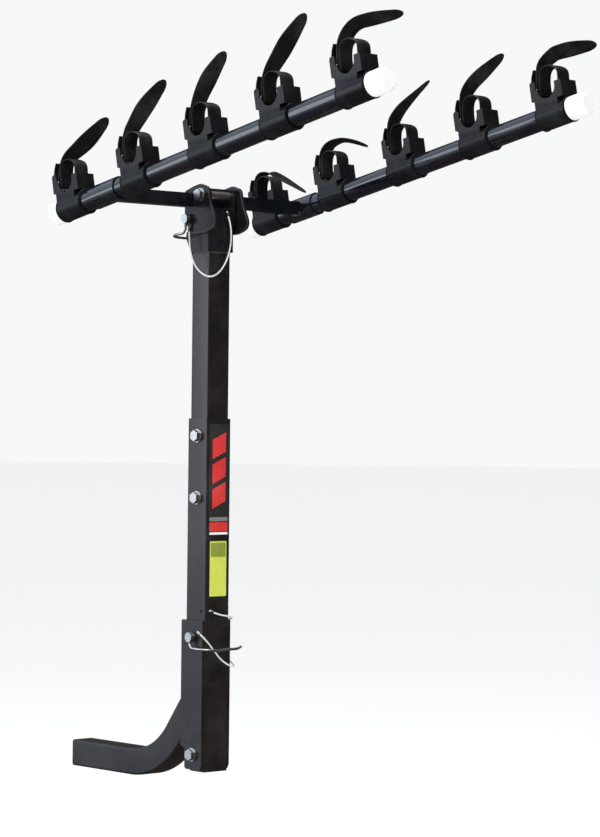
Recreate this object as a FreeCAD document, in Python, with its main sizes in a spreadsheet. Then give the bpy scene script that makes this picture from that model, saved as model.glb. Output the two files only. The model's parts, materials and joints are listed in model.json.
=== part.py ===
import FreeCAD, Part
import math
import os
import re
from FreeCAD import Placement, Rotation, Vector

# Hitch mounted bike rack. +Z is up, +Y points at the vehicle and the two carrying arms reach towards -Y.
# The origin is the centre of the hitch pin hole, on the axis of the square shank. Millimetres.
SIZES = {
    # shank: the bent square tube that slides into the vehicle's receiver
    "shank_width": 50.8, "shank_wall": 5.0, "shank_corner": 5.0, "shank_end": 57.0,
    "shank_straight": 122.0, "bend_radius": 158.0, "bend_angle": 53.0,
    "hitch_hole_radius": 6.6, "nut_flat": 11.0, "nut_height": 12.0,
    # where the mast stands, and the height of its tilt bolt over the shank axis
    "mast_setback": 317.0, "tilt_rise": 32.0,
    # mast channel
    "plate": 4.8, "channel_gap": 0.7, "channel_top": 249.0, "channel_drop": 28.0, "channel_front": 26.0,
    "channel_foot": 16.0, "channel_chamfer": 9.0, "fit_gap": 0.25,
    # mast: heights are over the tilt bolt
    "lower_width": 57.15, "lower_wall": 2.9, "lower_top": 623.0, "lower_drop": 31.0, "mast_corner": 4.0,
    "heel_chamfer": 18.0, "upper_width": 50.8, "upper_wall": 3.0, "upper_start": 430.0,
    "upper_top": 1013.0, "splice_low": 476.0, "splice_high": 591.0,
    # bolts and pins
    "tilt_radius": 6.35, "splice_radius": 6.35, "pivot_radius": 6.35, "hex_flat": 9.5, "hex_height": 8.0,
    "washer_radius": 12.7, "washer_thick": 2.0, "bore_gap": 0.08,
    "lower_pin_rise": 218.0, "lower_pin_radius": 6.35, "upper_pin_radius": 4.75, "pin_gap": 0.3,
    "pin_head_radius": 9.0, "pin_head_thick": 9.0, "pin_tip": 12.0, "bail_wire": 5.0,
    "pin_slack": 4.0, "bail_reach_lower": 45.0, "bail_drop_lower": 22.0, "bail_leg_lower": 20.0,
    "bail_reach_upper": 46.0, "bail_drop_upper": 31.0, "bail_leg_upper": 27.0,
    # head: the sleeve on the mast's top, and the forked bracket of the arms
    "sleeve_wall": 4.6, "sleeve_low": 932.0, "pivot_rise": 1036.0, "pivot_forward": 17.0,
    "lug_radius": 14.0, "lug_thick": 4.6, "ear_inside": 36.0, "ear_thick": 6.0,
    "upper_pin_rise": 993.0, "upper_pin_back": 15.0, "head_chamfer": 20.8,
    "gusset_half": 18.0, "gusset_reach": 22.0, "gusset_top": 972.0, "gusset_low": 918.0,
    # crossbar and arms
    "bar_width": 25.4, "bar_wall": 2.0, "bar_back": 13.6, "bar_rise": 1027.5,
    "arm_spread": 477.0, "arm_radius": 19.05, "arm_wall": 2.0, "arm_front": 720.0, "arm_rear": 142.0,
    "arm_tilt": 11.4, "joint_sleeve_radius": 21.6, "joint_sleeve_front": 45.0, "joint_sleeve_rear": 30.0,
    "cap_radius": 21.5, "cap_lip": 7.0, "cap_length": 40.0, "cap_plug": 14.0, "cap_round": 15.0,
    "cap_rear_length": 26.0, "cap_rear_lip": 17.0,
    # cradles along the arms, and the strap and catch of each
    "cradle_first": -111.0, "cradle_pitch": 191.5, "collar_radius": 22.6, "collar_front": 57.0,
    "collar_rear": 12.0, "cradle_half": 20.0, "cup_radius": 20.5, "cup_back": -20.5, "cup_rise": 48.0,
    "box_front": 56.0, "box_back": 41.0, "box_low": 23.0, "box_top": 53.0, "cheek_top": 65.0,
    "cheek_front": 4.0, "cheek_back": 16.5, "cheek_gap": 16.4, "slot_front": 49.5, "slot_back": 42.5,
    "slot_floor": 27.0, "strap_width": 30.0, "strap_thick": 3.4, "catch_back": 11.5, "catch_rise": 59.0,
    "catch_nose": 5.0, "catch_half": 15.6, "catch_lever": 27.0, "catch_thick": 4.6, "catch_axle": 2.5,
    "screw_radius": 5.0, "screw_thick": 2.4, "screw_shank": 1.6, "screw_lean": 16.0,
    # tether cables
    "tether_radius": 1.5,
}

doc = FreeCAD.newDocument("bike_rack")
sheet = doc.addObject("Spreadsheet::Sheet", "Sizes")
for row, (alias, value) in enumerate(SIZES.items(), 1):
    sheet.set(f"A{row}", alias)
    sheet.set(f"B{row}", str(value))
    sheet.setAlias(f"B{row}", alias)
doc.recompute()

X, Y, Z = Vector(1, 0, 0), Vector(0, 1, 0), Vector(0, 0, 1)
TURNS = {"x": Rotation(Y, 90), "y": Rotation(X, -90), "z": Rotation()}
NODES = {}


def size(alias):
    return float(getattr(sheet, alias))


def bound(text):
    """The expression with every size's name pointing at its cell."""
    return re.sub(r"[a-z_]+", lambda word: "Sizes." + word[0] if word[0] in SIZES else word[0], str(text))


def place(thing, at, turn=Rotation()):
    """Put a thing at three expressions, in the rack's frame or in the arm's own frame."""
    thing.Placement = Placement(Vector(), turn)
    for axis, text in zip("xyz", at):
        thing.setExpression(f"Placement.Base.{axis}", bound(text))
    return thing


def block(name, low, sides):
    """A box from its lowest corner and its three sides."""
    thing = doc.addObject("Part::Box", name)
    for side, text in zip(("Length", "Width", "Height"), sides):
        thing.setExpression(side, bound(text))
    return place(thing, low)


def rod(name, radius, length, at, axis):
    """A cylinder from the middle of its first end, along +x, +y or +z."""
    thing = doc.addObject("Part::Cylinder", name)
    thing.setExpression("Radius", bound(radius))
    thing.setExpression("Height", bound(length))
    return place(thing, at, TURNS[axis])


def hexagon(name, flat, length, at, axis):
    """A hexagonal bar: flat is the distance from its axis to each flat."""
    thing = doc.addObject("Part::Prism", name)
    thing.Polygon = 6
    thing.setExpression("Circumradius", bound(f"({flat}) / cos(30)"))
    thing.setExpression("Height", bound(length))
    return place(thing, at, TURNS[axis])


def join(name, *pieces):
    thing = doc.addObject("Part::MultiFuse", name)
    thing.Shapes = list(pieces)
    return thing


def cut(name, base, *tools):
    thing = doc.addObject("Part::Cut", name)
    thing.Base = base
    thing.Tool = tools[0] if len(tools) == 1 else join(name + "_tools", *tools)
    return thing


def group(name, *pieces):
    thing = doc.addObject("Part::Compound", name)
    thing.Links = list(pieces)
    return thing


def solid(name, shape, at=Vector(), turn=Rotation()):
    thing = doc.addObject("Part::Feature", name)
    thing.Shape = shape
    thing.Placement = Placement(at, turn)
    return thing


def node(name, thing):
    """Name a finished sub-part: its label names its file."""
    thing.Label = name
    NODES[name] = thing
    return thing


def square_bar(name, width, low, length, corner, at=("0", "-mast_setback")):
    """An upright square bar with rounded corners, centred on a vertical line."""
    bar = block(name + "_bar", (f"{at[0]} - ({width}) / 2", f"{at[1]} - ({width}) / 2", low),
                (width, width, length))
    rounded = doc.addObject("Part::Fillet", name)
    rounded.Base = bar
    rounded.Edges = [(edge, corner, corner) for edge in (1, 3, 5, 7)]
    return rounded


def square_tube(name, width, wall, low, length, corner):
    outer = square_bar(name + "_outer", width, low, length, corner)
    inner = square_bar(name + "_inner", f"{width} - 2 * ({wall})", f"{low} - 1", f"{length} + 2",
                       max(corner - size(wall), 1.0))
    return cut(name, outer, inner)


def plate(outline, thick, start):
    """A flat plate in the Y-Z plane from a list of (y, z, corner radius), standing at x = start."""
    edges, ends = [], []
    count = len(outline)
    for n in range(count):
        before, here, after = (Vector(0, *outline[k % count][:2]) for k in (n - 1, n, n + 1))
        ends.append(rounded_corner(before, here, after, outline[n][2]))
    for n, (first, middle, last) in enumerate(ends):
        if middle is not None:
            edges.append(Part.Arc(first, middle, last).toShape())
        following = ends[(n + 1) % count][0]
        if (following - last).Length > 1e-6:
            edges.append(Part.LineSegment(last, following).toShape())
    face = Part.Face(Part.Wire(edges))
    face.translate(Vector(start, 0, 0))
    return face.extrude(Vector(thick, 0, 0))


def rounded_corner(before, here, after, radius):
    """The start, middle and end of the arc that rounds a corner, or the corner itself for radius 0."""
    back, on = (before - here).normalize(), (after - here).normalize()
    half = back.getAngle(on) / 2
    if radius <= 0:
        return here, None, here
    reach = radius / math.tan(half)
    centre = here + (back + on).normalize() * (radius / math.sin(half))
    middle = centre + (here - centre).normalize() * radius
    return here + back * reach, middle, here + on * reach


def smooth_path(points):
    """Straight runs joined by tangent arcs, each arc as large as the shorter of its runs allows."""
    points = [Vector(*point) for point in points]
    edges, radii, last = [], [], points[0]
    for before, here, after in zip(points, points[1:], points[2:]):
        turn = math.pi - (before - here).getAngle(after - here)
        radius = 0.45 * min((here - before).Length, (after - here).Length) / math.tan(turn / 2)
        first, middle, end = rounded_corner(before, here, after, radius)
        edges.append(Part.LineSegment(last, first).toShape())
        edges.append(Part.Arc(first, middle, end).toShape())
        radii.append(round(radius, 1))
        last = end
    edges.append(Part.LineSegment(last, points[-1]).toShape())
    return Part.Wire(edges), radii


def cable(name, points, radius):
    """A round cable or wire along a smooth path, checked against its section times its length."""
    path, radii = smooth_path(points)
    start = Vector(*points[0])
    circle = Part.Circle(start, Vector(*points[1]) - start, radius).toShape()
    swept = path.makePipeShell([Part.Wire([circle])], True, False)
    expected = math.pi * radius ** 2 * path.Length
    share = swept.Volume / expected
    print(f"{name}: length {path.Length:.1f}, radii {radii}, volume {share:.4f} of section")
    return swept


MAST = -size("mast_setback")
TILT = size("tilt_rise")


# ---------------------------------------------------------------- hitch base
def rounded_square(width, corner, at):
    """A square section with rounded corners, standing in the X-Z plane at a point."""
    half = width / 2
    corners = [Vector(x, 0, z) for x, z in ((-half, -half), (half, -half), (half, half), (-half, half))]
    edges, ends = [], []
    for n, here in enumerate(corners):
        ends.append(rounded_corner(corners[n - 1], here, corners[(n + 1) % 4], corner))
    for n, (first, middle, last) in enumerate(ends):
        edges.append(Part.Arc(first, middle, last).toShape())
        edges.append(Part.LineSegment(last, ends[(n + 1) % 4][0]).toShape())
    wire = Part.Wire(edges)
    wire.translate(at)
    return Part.Face(wire)


def bent_bar(width, corner):
    """The shank's outside or inside: a straight run, a bend, and a run that ends inside the channel."""
    end, straight = size("shank_end"), size("shank_straight")
    radius, angle = size("bend_radius"), size("bend_angle")
    section = rounded_square(width, corner, Vector(0, end, 0))
    run = section.extrude(Vector(0, -end - straight, 0))
    section.translate(Vector(0, -end - straight, 0))
    centre = Vector(0, -straight, radius)
    bend = section.revolve(centre, X, -angle)
    section.rotate(centre, X, -angle)
    rise = Vector(0, -math.cos(math.radians(angle)), math.sin(math.radians(angle)))
    leg = section.extrude(rise * size("mast_setback") / 2)
    return run.fuse([bend, leg]).removeSplitter()


def channel_depths():
    """The y of the back plate's inner and outer faces and of the flanges' front edges."""
    inner = MAST + size("lower_width") / 2 + size("channel_gap")
    return inner, inner + size("plate"), MAST - size("channel_front")


def shank_bar(name, width, corner):
    """The bar, trimmed where it meets the channel's back."""
    _, back, _ = channel_depths()
    reach = size("mast_setback")
    trim = Part.makeBox(4 * width, reach, 4 * reach, Vector(-2 * width, back - reach, -reach))
    return solid(name, bent_bar(width, corner).cut(trim))


def build_shank():
    wall = size("shank_wall")
    outer = shank_bar("shank_outer", size("shank_width"), size("shank_corner"))
    inner = shank_bar("shank_inner", size("shank_width") - 2 * wall, max(size("shank_corner") - wall, 1.0))
    opened = solid("shank_bore", Part.makeBox(size("shank_width") - 2 * wall, 2.0,
                                              size("shank_width") - 2 * wall,
                                              Vector(wall - size("shank_width") / 2, size("shank_end") - 1,
                                                     wall - size("shank_width") / 2)))
    hole = rod("hitch_hole", "hitch_hole_radius", "shank_width", ("0", "0", "0"), "x")
    node("hitch_shank", cut("shank", outer, inner, opened, hole))
    nut = hexagon("nut_body", "nut_flat", "nut_height", ("shank_width / 2 - shank_wall - nut_height", "0",
                                                         "0"), "x")
    thread = rod("nut_thread", "hitch_hole_radius", "nut_height + 2",
                 ("shank_width / 2 - shank_wall - nut_height - 1", "0", "0"), "x")
    node("hitch_weld_nut", cut("weld_nut", nut, thread))


def build_channel():
    inner, back, front = channel_depths()
    thick, half = size("plate"), size("lower_width") / 2 + size("channel_gap")
    low, top = TILT - size("channel_drop"), TILT + size("channel_top")
    nick = size("channel_chamfer")
    foot = TILT + size("channel_foot")
    flange = [(front, low + nick, 3), (front + 4, low, 3), (back - 12, low, 6), (back - 12, foot - 6, 4),
              (back, foot, 2), (back, top, 3), (front, top, 3)]
    sides = [solid(f"flange_{n}", plate(flange, thick, start)) for n,
             start in enumerate((-half - thick, half))]
    web = solid("channel_web", Part.makeBox(2 * half, thick, top - foot - 4,
                                            Vector(-half, inner, foot + 2)))
    whole = join("channel_plates", *sides, web)
    span = "lower_width + 2 * channel_gap + 2 * plate + 2"
    start = "-lower_width / 2 - channel_gap - plate - 1"
    bolt = rod("channel_bolt_hole", "tilt_radius + bore_gap", span, (start, "-mast_setback", "tilt_rise"),
               "x")
    pin = rod("channel_pin_hole", "lower_pin_radius + pin_gap", span,
              (start, "-mast_setback", "tilt_rise + lower_pin_rise"), "x")
    node("mast_channel", cut("channel", whole, bolt, pin))


def bolt_set(name, radius, flange, y, z):
    """A hex bolt along +x through everything between -flange and +flange, its nut and its two washers."""
    head = hexagon(name + "_head", "hex_flat", "hex_height", (f"-({flange}) - washer_thick - hex_height",
                                                              y, z), "x")
    shaft = rod(name + "_shaft",
                radius, f"2 * ({flange}) + 2 * washer_thick + hex_height + 3 + washer_thick",
                (f"-({flange}) - 2 * washer_thick", y, z), "x")
    bolt = join(name + "_bolt", head, shaft)
    nut = cut(name + "_nut", hexagon(name + "_nut_body", "hex_flat", "hex_height",
                                     (f"{flange} + washer_thick", y, z), "x"),
              rod(name + "_nut_bore", radius, "hex_height + 2", (f"{flange} + washer_thick - 1", y, z),
                  "x"))
    washers = []
    for n, start in enumerate((f"-({flange}) - washer_thick", flange)):
        disc = rod(f"{name}_disc_{n}", "washer_radius", "washer_thick", (start, y, z), "x")
        bore = rod(f"{name}_disc_bore_{n}", f"{radius} + bore_gap", "washer_thick + 2",
                   (f"{start} - 1", y, z), "x")
        washers.append(cut(f"{name}_washer_{n}", disc, bore))
    return bolt, nut, washers


def build_tilt_bolt():
    flange = "(lower_width / 2 + channel_gap + plate)"
    bolt, nut, washers = bolt_set("tilt", "tilt_radius", flange, "-mast_setback", "tilt_rise")
    node("tilt_bolt", bolt)
    node("tilt_nut", group("tilt_nut_group", nut, *washers))


# ---------------------------------------------------------------- mast
def through(name, radius, rise, y="-mast_setback"):
    return rod(name, radius, "120", ("-60", y, f"tilt_rise + {rise}"), "x")


def build_mast():
    corner = size("mast_corner")
    lower = square_tube("lower_tube", "lower_width", "lower_wall", "tilt_rise - lower_drop",
                        "lower_top + lower_drop", corner)
    heel = solid("heel_cut", plate([(MAST + size("lower_width"), TILT - size("lower_drop") - 40, 0),
                                    (MAST + size("lower_width"), TILT - size("lower_drop")
                                     + size("heel_chamfer") + size("lower_width") / 2, 0),
                                    (MAST + size("lower_width") / 2 - size("heel_chamfer") - 40,
                                     TILT - size("lower_drop") - 40, 0)], 120, -60))
    corner_holes = [rod("tether_hole_side", "tether_radius + 1", "12",
                        ("-lower_width / 2 - 4", "-mast_setback - 16", "tilt_rise + 266"), "x"),
                    rod("tether_hole_front", "tether_radius + 1", "12",
                        ("-19", "-mast_setback - lower_width / 2 - 4", "tilt_rise + 268"), "y")]
    holes = [through("mast_tilt_bore", "tilt_radius + bore_gap", "0"),
             through("mast_pin_bore", "lower_pin_radius + pin_gap", "lower_pin_rise"),
             through("mast_splice_bore_low", "splice_radius + bore_gap", "splice_low"),
             through("mast_splice_bore_high", "splice_radius + bore_gap", "splice_high")]
    node("lower_mast", cut("lower_mast_cut", lower, heel, *corner_holes, *holes))

    upper = square_tube("upper_tube", "upper_width", "upper_wall", "tilt_rise + upper_start",
                        "upper_top - upper_start", corner)
    holes = [through("upper_splice_bore_low", "splice_radius + bore_gap", "splice_low"),
             through("upper_splice_bore_high", "splice_radius + bore_gap", "splice_high"),
             through("upper_pin_bore", "upper_pin_radius + pin_gap", "upper_pin_rise",
                     "upper_pin_back - mast_setback")]
    hook_hole = rod("tether_hole_upper", "tether_radius + 1", "12",
                    ("6", "-mast_setback - upper_width / 2 - 8", "tilt_rise + upper_top - 6"), "y")
    node("upper_mast", cut("upper_mast_cut", upper, *holes, hook_hole, head_slope("mast_slope")))


def head_slope(name):
    """The slanted cut that clears the top back corner of the mast and its sleeve for the arms' fold."""
    outer = size("upper_width") / 2 + size("sleeve_wall") + size("fit_gap")
    top, nick = TILT + size("upper_top"), size("head_chamfer")
    return solid(name, plate([(MAST + outer - nick, top, 0), (MAST + outer + 30, top - nick - 30, 0),
                              (MAST + outer + 30, top + 60, 0), (MAST + outer - nick, top + 60, 0)], 120,
                              -60))


def build_splice():
    pieces = []
    for name in ("splice_low", "splice_high"):
        bolt, nut, washers = bolt_set(name, "splice_radius", "(lower_width / 2)", "-mast_setback",
                                      f"tilt_rise + {name}")
        pieces += [bolt, nut, *washers]
    node("splice_bolts", group("splice_group", *pieces))


def sleeve_half():
    return size("upper_width") / 2 + size("fit_gap") + size("sleeve_wall")


def build_head():
    """The head sleeve: a square sleeve with two lugs that carry the pivot bolt, and the gusset behind it."""
    corner = size("mast_corner") + size("sleeve_wall") / 2
    low, rise = "tilt_rise + sleeve_low", "upper_top - sleeve_low"
    outer = square_bar("sleeve_outer", "upper_width + 2 * fit_gap + 2 * sleeve_wall", low, rise, corner)
    inner = square_bar("sleeve_inner", "upper_width + 2 * fit_gap", f"{low} - 1", f"{rise} + 80",
                       size("mast_corner"))
    half, thick = sleeve_half(), size("lug_thick")
    pivot = (MAST - size("pivot_forward"), TILT + size("pivot_rise"))
    reach, top = size("lug_radius"), TILT + size("upper_top")
    lug = [(pivot[0] - reach, top - 30, 0), (pivot[0] + reach, top - 30, 0),
           (pivot[0] + reach, pivot[1] + reach, reach * 0.99),
           (pivot[0] - reach, pivot[1] + reach, reach * 0.99)]
    lugs = [solid(f"lug_{n}", plate(lug, thick, start)) for n, start in enumerate((-half, half - thick))]
    whole = join("sleeve_whole", outer, *lugs)
    bores = [through("sleeve_pivot_bore", "pivot_radius + bore_gap", "pivot_rise",
                     "-mast_setback - pivot_forward"),
             through("sleeve_pin_bore", "upper_pin_radius + pin_gap", "upper_pin_rise",
                     "upper_pin_back - mast_setback")]
    hook_hole = rod("tether_hole_sleeve", "tether_radius + 1", "12",
                    ("6", "-mast_setback - upper_width / 2 - 8", "tilt_rise + upper_top - 6"), "y")
    node("head_sleeve", cut("sleeve", whole, inner, *bores, hook_hole, head_slope("sleeve_slope")))

    wide, back = size("gusset_half"), MAST + half
    fin = [(back, TILT + size("gusset_low"), 0), (back + size("gusset_reach"),
                                                  TILT + size("gusset_top") - 14, 5),
           (back + size("gusset_reach"), TILT + size("gusset_top"), 4),
           (back, TILT + size("gusset_top"), 0)]
    cheeks = [solid(f"gusset_cheek_{n}", plate(fin, thick, start)) for n,
              start in enumerate((-wide, wide - thick))]
    rib = [(back, TILT + size("gusset_low") + 4, 0), (back + size("gusset_reach") - 5,
                                                      TILT + size("gusset_top") - 12, 3),
           (back + size("gusset_reach") - 5, TILT + size("gusset_top") - 6, 2),
           (back, TILT + size("gusset_top") - 6, 0)]
    bridge = solid("gusset_bridge", plate(rib, 2 * (wide - thick), thick - wide))
    hollow = solid("gusset_hollow", Part.makeBox(2 * (wide - thick), 8, 200,
                                                 Vector(thick - wide, back - 0.5,
                                                        TILT + size("gusset_low") - 50)))
    node("head_gusset", cut("gusset", join("gusset_whole", *cheeks, bridge), hollow))


def build_pivot():
    y, z = "-mast_setback - pivot_forward", "tilt_rise + pivot_rise"
    flange = "(ear_inside + ear_thick)"
    bolt, nut, washers = bolt_set("pivot", "pivot_radius", flange, y, z)
    node("pivot_bolt", bolt)
    node("pivot_nut", group("pivot_nut_group", nut, *washers))
    half = "(upper_width / 2 + fit_gap + sleeve_wall)"
    bushes = []
    spans = ((f"-ear_inside", f"ear_inside - {half}"), (half, f"ear_inside - {half}"),
             (f"lug_thick - {half}", f"2 * ({half} - lug_thick)"))
    for n, (start, length) in enumerate(spans):
        tube = rod(f"bush_body_{n}", "pivot_radius + 2.0", length, (start, y, z), "x")
        bore = rod(f"bush_bore_{n}", "pivot_radius + bore_gap", f"{length} + 2", (f"{start} - 1", y, z),
                   "x")
        bushes.append(cut(f"bush_{n}", tube, bore))
    node("pivot_bushes", group("bush_group", *bushes))


# ---------------------------------------------------------------- arms
def build_bracket():
    """Two ears outside the head sleeve, joined over the crossbar by a top web."""
    pivot = (MAST - size("pivot_forward"), TILT + size("pivot_rise"))
    low = TILT + size("pivot_rise") - 70
    outline = [(MAST - 66, low + 12, 16), (MAST - 30, low, 40), (MAST + 8, low, 20),
               (MAST + 28, low + 22, 12),
               (MAST + 29, pivot[1] + 9, 6), (MAST + 4, pivot[1] + 17, 6),
               (pivot[0] + 2, pivot[1] + 21, 14),
               (pivot[0] - 21, pivot[1] + 14, 12), (pivot[0] - 28, pivot[1] - 16, 30)]
    inside, thick = size("ear_inside"), size("ear_thick")
    ears = [solid(f"ear_{n}", plate(outline, thick, start)) for n,
            start in enumerate((-inside - thick, inside))]
    web = solid("ear_web", plate([(MAST - 6, pivot[1] + 11, 0), (MAST + 22, pivot[1] + 5.5, 0),
                                  (MAST + 22, pivot[1] + 9.5, 0), (MAST - 5, pivot[1] + 15, 0)],
                                  2 * inside, -inside))
    hole = block("bracket_bar_hole", ("-60", "bar_back - mast_setback - bar_width / 2",
                                      "tilt_rise + bar_rise - bar_width / 2"),
                 ("120", "bar_width", "bar_width"))
    bores = [through("bracket_pivot_bore", "pivot_radius + bore_gap", "pivot_rise",
                     "-mast_setback - pivot_forward"),
             through("bracket_pin_bore", "upper_pin_radius + pin_gap", "upper_pin_rise",
                     "upper_pin_back - mast_setback")]
    node("arm_bracket", cut("bracket", join("bracket_whole", *ears, web), hole, *bores))


def build_crossbar():
    y, z = "bar_back - mast_setback - bar_width / 2", "tilt_rise + bar_rise - bar_width / 2"
    outer = block("bar_outer", ("-arm_spread / 2", y, z), ("arm_spread", "bar_width", "bar_width"))
    inner = block("bar_inner", ("-arm_spread / 2 - 1", f"{y} + bar_wall", f"{z} + bar_wall"),
                  ("arm_spread + 2", "bar_width - 2 * bar_wall", "bar_width - 2 * bar_wall"))
    copes = []
    for side, sign in (("left", -1), ("right", 1)):
        cope = rod(f"cope_{side}", "joint_sleeve_radius + 0.02", "160", ("0", "-80", "0"), "y")
        copes.append(on_arm(group(f"cope_seat_{side}", cope), sign, "0"))
    node("crossbar", cut("crossbar_cut", outer, inner, *copes))


def on_arm(thing, sign, along):
    """Move a piece from the arm's own frame (y along the arm, z square to it) to its place on the rack."""
    place(thing, (f"{sign} * arm_spread / 2",
                  f"bar_back - mast_setback - ({along}) * cos(arm_tilt)",
                  f"tilt_rise + bar_rise + ({along}) * sin(arm_tilt)"), Rotation(X, -1))
    thing.setExpression("Placement.Rotation.Angle", bound("arm_tilt"))
    thing.Placement = Placement(thing.Placement.Base, Rotation(Vector(-1, 0, 0), size("arm_tilt")))
    return thing


def round_tube(name, radius, inner, low, length):
    outer = rod(name + "_outer", radius, length, ("0", low, "0"), "y")
    bore = rod(name + "_bore", inner, f"{length} + 2", ("0", f"{low} - 1", "0"), "y")
    return cut(name, outer, bore)


def build_arm(side, sign):
    tube = round_tube(f"arm_tube_{side}", "arm_radius", "arm_radius - arm_wall", "-arm_front",
                      "arm_front + arm_rear")
    node(f"arm_{side}", on_arm(tube, sign, "0"))
    sleeve = round_tube(f"joint_{side}", "joint_sleeve_radius", "arm_radius + 0.05", "-joint_sleeve_front",
                        "joint_sleeve_front + joint_sleeve_rear")
    node(f"arm_sleeve_{side}", on_arm(sleeve, sign, "0"))


def cap(name, sign, low, length, front):
    """An end cap: a plug in the tube, a lip over its end and a shell, domed when it faces the front."""
    lip = "cap_lip" if front else "cap_rear_lip"
    shell = rod(name + "_shell", "cap_radius", length, ("0", low, "0"), "y")
    plug = rod(name + "_plug", "arm_radius - arm_wall - 0.1", f"({length}) + cap_plug",
               ("0", low if front else f"({low}) - cap_plug", "0"), "y")
    recess = cut(name + "_recess", rod(name + "_recess_body", "arm_radius + 0.1", f"{lip} + 1",
                                       ("0", f"({low}) + ({length}) - {lip}" if front else f"({low}) - 1",
                                        "0"), "y"),
                 rod(name + "_recess_core", "arm_radius - arm_wall - 0.1", f"{lip} + 3",
                     ("0", f"({low}) + ({length}) - {lip} - 1" if front else f"({low}) - 2", "0"), "y"))
    rounded = doc.addObject("Part::Fillet", name + "_dome")
    rounded.Base = shell
    doc.recompute()
    far_end = size("arm_front") + size("cap_length") - size("cap_lip") if front else None
    edges = [n for n, edge in enumerate(shell.Shape.Edges, 1)
             if len(edge.Vertexes) == 1 and edge_at_outside(edge, far_end)]
    radius = size("cap_round") if front else size("cap_round") / 3
    rounded.Edges = [(n, radius, radius) for n in edges]
    whole = join(name + "_whole", rounded, plug)
    return on_arm(cut(name, whole, recess), sign, "0")


def edge_at_outside(edge, far_end):
    """Is a cap's round edge the one away from the arm?"""
    y = edge.CenterOfMass.y
    if far_end is not None:
        return abs(y + far_end) < 1e-3
    return abs(y - size("arm_rear") + size("cap_rear_lip") - size("cap_rear_length")) < 1e-3


def build_caps():
    for where, low, length, front in (("front", "-arm_front - cap_length + cap_lip", "cap_length", True),
                                      ("rear", "arm_rear - cap_rear_lip", "cap_rear_length", False)):
        caps = [cap(f"cap_{where}_{side}", sign, low, length, front) for side, sign in SIDES]
        node(f"{where}_caps", group(f"caps_{where}", *caps))


# ---------------------------------------------------------------- cradles
def cradle_along(number):
    return f"cradle_first + cradle_pitch * {number - 1}"


def build_cradle(side, sign, number):
    """A moulded collar, its saddle with the cup, the strap box in front and the catch's cheeks behind."""
    tag = f"{side}_{number}"
    collar = rod(f"collar_{tag}", "collar_radius", "collar_front + collar_rear",
                 ("0", "-collar_front", "0"), "y")
    saddle = block(f"saddle_{tag}", ("-cradle_half", "-box_back - 2", "0"),
                   ("2 * cradle_half", "box_back + 2 + collar_rear - 2", "cup_rise"))
    strap_box = block(f"strap_box_{tag}", ("-cradle_half", "-box_front", "box_low"),
                      ("2 * cradle_half", "box_front - box_back", "box_top - box_low"))
    cheeks = block(f"cheeks_{tag}", ("-cradle_half", "cheek_front", "cup_rise / 2 + 6"),
                   ("2 * cradle_half", "cheek_back - cheek_front", "cheek_top - cup_rise / 2 - 6"))
    rounded = doc.addObject("Part::Fillet", f"cheeks_round_{tag}")
    rounded.Base = cheeks
    rounded.Edges = [(10, 5.5, 5.5), (12, 5.5, 5.5)]
    whole = join(f"cradle_body_{tag}", collar, saddle, strap_box, rounded)
    bore = rod(f"cradle_bore_{tag}", "arm_radius + 0.1", "200", ("0", "-100", "0"), "y")
    cup = rod(f"cup_{tag}", "cup_radius", "4 * cradle_half", ("-2 * cradle_half", "cup_back", "cup_rise"),
              "x")
    slot = block(f"slot_{tag}", ("-strap_width / 2 - 0.8", "-slot_front", "slot_floor"),
                 ("strap_width + 1.6", "slot_front - slot_back", "60"))
    passage = block(f"passage_{tag}", ("-cheek_gap", "cheek_front - 9.5", "slot_floor + 7"),
                    ("2 * cheek_gap", "40", "60"))
    axle = rod(f"axle_hole_{tag}", "catch_axle + bore_gap", "4 * cradle_half",
               ("-2 * cradle_half", "catch_back", "catch_rise"), "x")
    seat = solid(f"screw_seat_{tag}", screw_stack(size("screw_radius") + 0.3, size("screw_shank") + 0.05,
                                                  20.0, 12.0))
    body = cut(f"cradle_cut_{tag}", whole, bore, cup, slot, passage, axle, seat)
    node(f"cradle_{tag}", on_arm(body, sign, cradle_along(number)))


def build_catch(side, sign, number):
    """The cam catch: a nose on its axle and a lever that stands up behind the strap."""
    tag = f"{side}_{number}"
    nose = rod(f"nose_{tag}", "catch_nose", "2 * catch_half", ("-catch_half", "catch_back", "catch_rise"),
               "x")
    axle = rod(f"axle_{tag}", "catch_axle", "2 * cradle_half - 1",
               ("0.5 - cradle_half", "catch_back", "catch_rise"), "x")
    y, z = size("catch_back"), size("catch_rise")
    high, thick = size("catch_lever"), size("catch_thick")
    bar = [(y - 1, z, 0), (y - 1 + thick, z, 0), (y + 1.5, z + high, 1.6), (y - 2, z + high, 1.6)]
    lever = solid(f"lever_{tag}", plate(bar, 2 * size("catch_half"), -size("catch_half")))
    node(f"catch_{tag}", on_arm(join(f"catch_whole_{tag}", nose, axle, lever), sign, cradle_along(number)))


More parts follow.
